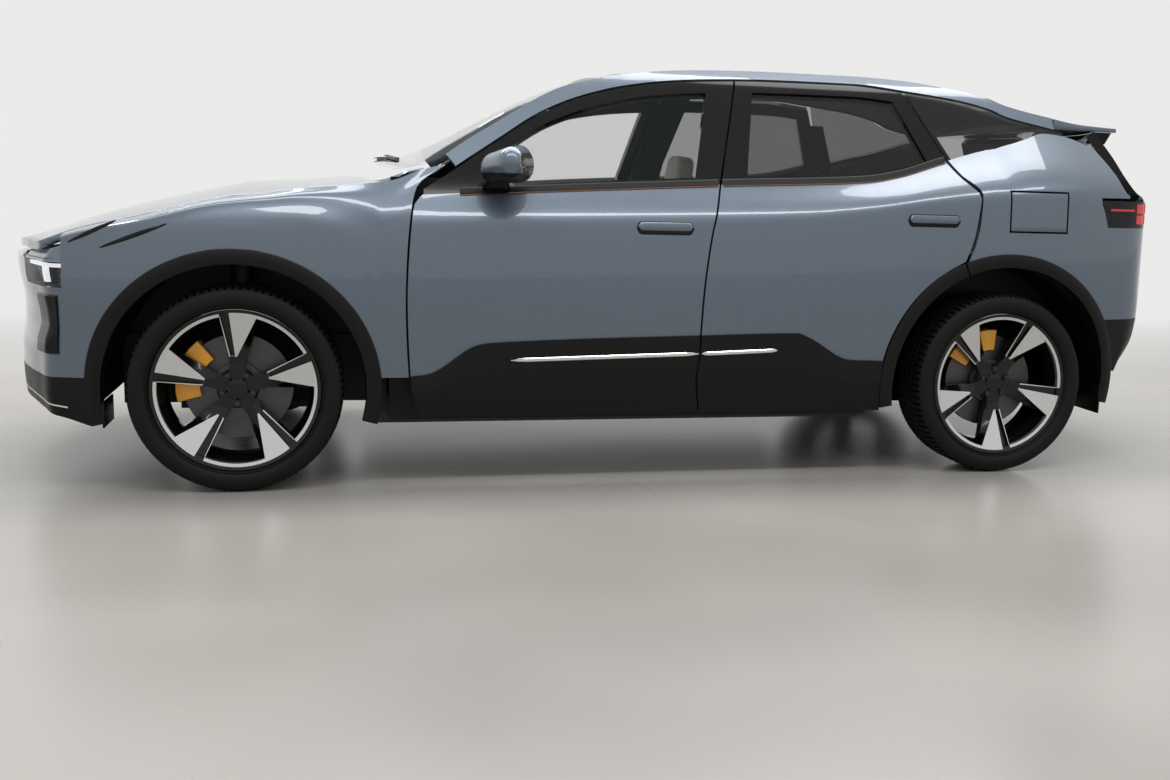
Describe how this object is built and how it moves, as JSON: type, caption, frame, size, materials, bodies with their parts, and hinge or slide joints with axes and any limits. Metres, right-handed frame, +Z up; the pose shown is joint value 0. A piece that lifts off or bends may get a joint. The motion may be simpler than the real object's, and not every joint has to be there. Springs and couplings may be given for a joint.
{
  "type": "sport utility vehicle",
  "caption": "Fastback family car body on wheels with hinged doors, bonnet, tailgate and charging flap, a hollow cabin with seats, and steered front wheels.",
  "frame": {"origin": "middle of the overall box on the floor", "axes": "+X towards the tail, +Y towards the right-hand side of the car, +Z up"},
  "size_m": [4.8194, 2.263, 1.63],
  "materials": {
    "tyre": "matte rubber",
    "rim": "black gloss with machined faces",
    "disc": "machined",
    "caliper": "gold paint",
    "metal": "cast",
    "trim": "satin black",
    "clear_glass": "clear",
    "dark_glass": "dark tint",
    "headlamp": "clear lens",
    "tail_lamp": "dark red lens",
    "seat": "soft leather",
    "cabin": "soft touch",
    "paint": "blue-grey metallic"
  },
  "bodies": {
    "body": {"calipers_rear": "caliper", "front_axle": "metal", "rear_axle": "metal", "drive_units": "metal", "battery_pack": "trim", "underbody": "trim", "body_frame": "paint", "roof_frame": "paint", "front_arches": "trim", "rear_arches": "trim", "front_wings": "paint", "quarter_panels": "paint", "quarter_windows": "dark_glass", "front_bumper": "paint", "front_lower_bumper": "trim", "headlamps": "headlamp", "rear_bumper": "paint", "rear_lower_bumper": "trim", "tail_lamps": "tail_lamp", "scuttle": "trim", "windscreen": "clear_glass", "roof_glass": "dark_glass", "front_seats": "seat", "cabin_fittings": "cabin", "rear_seat": "seat"},
    "steer_left": {"knuckle_left": "metal", "caliper_front_left": "caliper"},
    "wheel_front_left": {"tyre_front_left": "tyre", "rim_front_left": "rim", "disc_front_left": "disc"},
    "door_front_left": {"door_front_left": "paint", "glass_front_left": "clear_glass", "cladding_front_left": "trim", "mirror_left": "paint"},
    "wheel_rear_left": {"tyre_rear_left": "tyre", "rim_rear_left": "rim", "disc_rear_left": "disc"},
    "door_rear_left": {"door_rear_left": "paint", "glass_rear_left": "dark_glass", "cladding_rear_left": "trim"},
    "steer_right": {"knuckle_right": "metal", "caliper_front_right": "caliper"},
    "wheel_front_right": {"tyre_front_right": "tyre", "rim_front_right": "rim", "disc_front_right": "disc"},
    "door_front_right": {"door_front_right": "paint", "glass_front_right": "clear_glass", "cladding_front_right": "trim", "mirror_right": "paint"},
    "wheel_rear_right": {"tyre_rear_right": "tyre", "rim_rear_right": "rim", "disc_rear_right": "disc"},
    "door_rear_right": {"door_rear_right": "paint", "glass_rear_right": "dark_glass", "cladding_rear_right": "trim"},
    "bonnet": {"bonnet": "paint"},
    "tailgate": {"tailgate": "paint", "rear_glass": "dark_glass", "roof_spoiler": "paint"},
    "charge_flap": {"charge_flap": "paint"}
  },
  "joints": [
    {"name": "steer_left", "type": "hinge", "parent": "body", "child": "steer_left", "pos_m": [-1.552, -0.735, 0.37], "axis": [0, 0, 1], "range_deg": [-34, 34]},
    {"name": "spin_front_left", "type": "hinge", "parent": "steer_left", "child": "wheel_front_left", "pos_m": [-1.552, -0.815, 0.37], "axis": [0, -1, 0], "continuous": true},
    {"name": "spin_rear_left", "type": "hinge", "parent": "body", "child": "wheel_rear_left", "pos_m": [1.433, -0.815, 0.37], "axis": [0, -1, 0], "continuous": true},
    {"name": "door_front_left_hinge", "type": "hinge", "parent": "body", "child": "door_front_left", "pos_m": [-0.88455, -0.94157, 0.76], "axis": [0, 0, -1], "range_deg": [0, 65]},
    {"name": "door_rear_left_hinge", "type": "hinge", "parent": "body", "child": "door_rear_left", "pos_m": [0.24049, -0.93985, 0.76], "axis": [0, 0, -1], "range_deg": [0, 65]},
    {"name": "steer_right", "type": "hinge", "parent": "body", "child": "steer_right", "pos_m": [-1.552, 0.735, 0.37], "axis": [0, 0, 1], "range_deg": [-34, 34]},
    {"name": "spin_front_right", "type": "hinge", "parent": "steer_right", "child": "wheel_front_right", "pos_m": [-1.552, 0.815, 0.37], "axis": [0, -1, 0], "continuous": true},
    {"name": "spin_rear_right", "type": "hinge", "parent": "body", "child": "wheel_rear_right", "pos_m": [1.433, 0.815, 0.37], "axis": [0, -1, 0], "continuous": true},
    {"name": "door_front_right_hinge", "type": "hinge", "parent": "body", "child": "door_front_right", "pos_m": [-0.88455, 0.94157, 0.76], "axis": [0, 0, 1], "range_deg": [0, 65]},
    {"name": "door_rear_right_hinge", "type": "hinge", "parent": "body", "child": "door_rear_right", "pos_m": [0.24049, 0.93985, 0.76], "axis": [0, 0, 1], "range_deg": [0, 65]},
    {"name": "bonnet_hinge", "type": "hinge", "parent": "body", "child": "bonnet", "pos_m": [-1.05947, 0, 1.07054], "axis": [0, 1, 0], "range_deg": [0, 45]},
    {"name": "tailgate_hinge", "type": "hinge", "parent": "body", "child": "tailgate", "pos_m": [1.69587, 0, 1.48459], "axis": [0, -1, 0], "range_deg": [0, 75]},
    {"name": "charge_flap_hinge", "type": "hinge", "parent": "body", "child": "charge_flap", "pos_m": [1.46605, -0.93964, 1.07], "axis": [0, 0, -1], "range_deg": [0, 75]}
  ],
  "couplings": [
    {"joint": "steer_right", "follows": "steer_left", "ratio": 1}
  ]
}
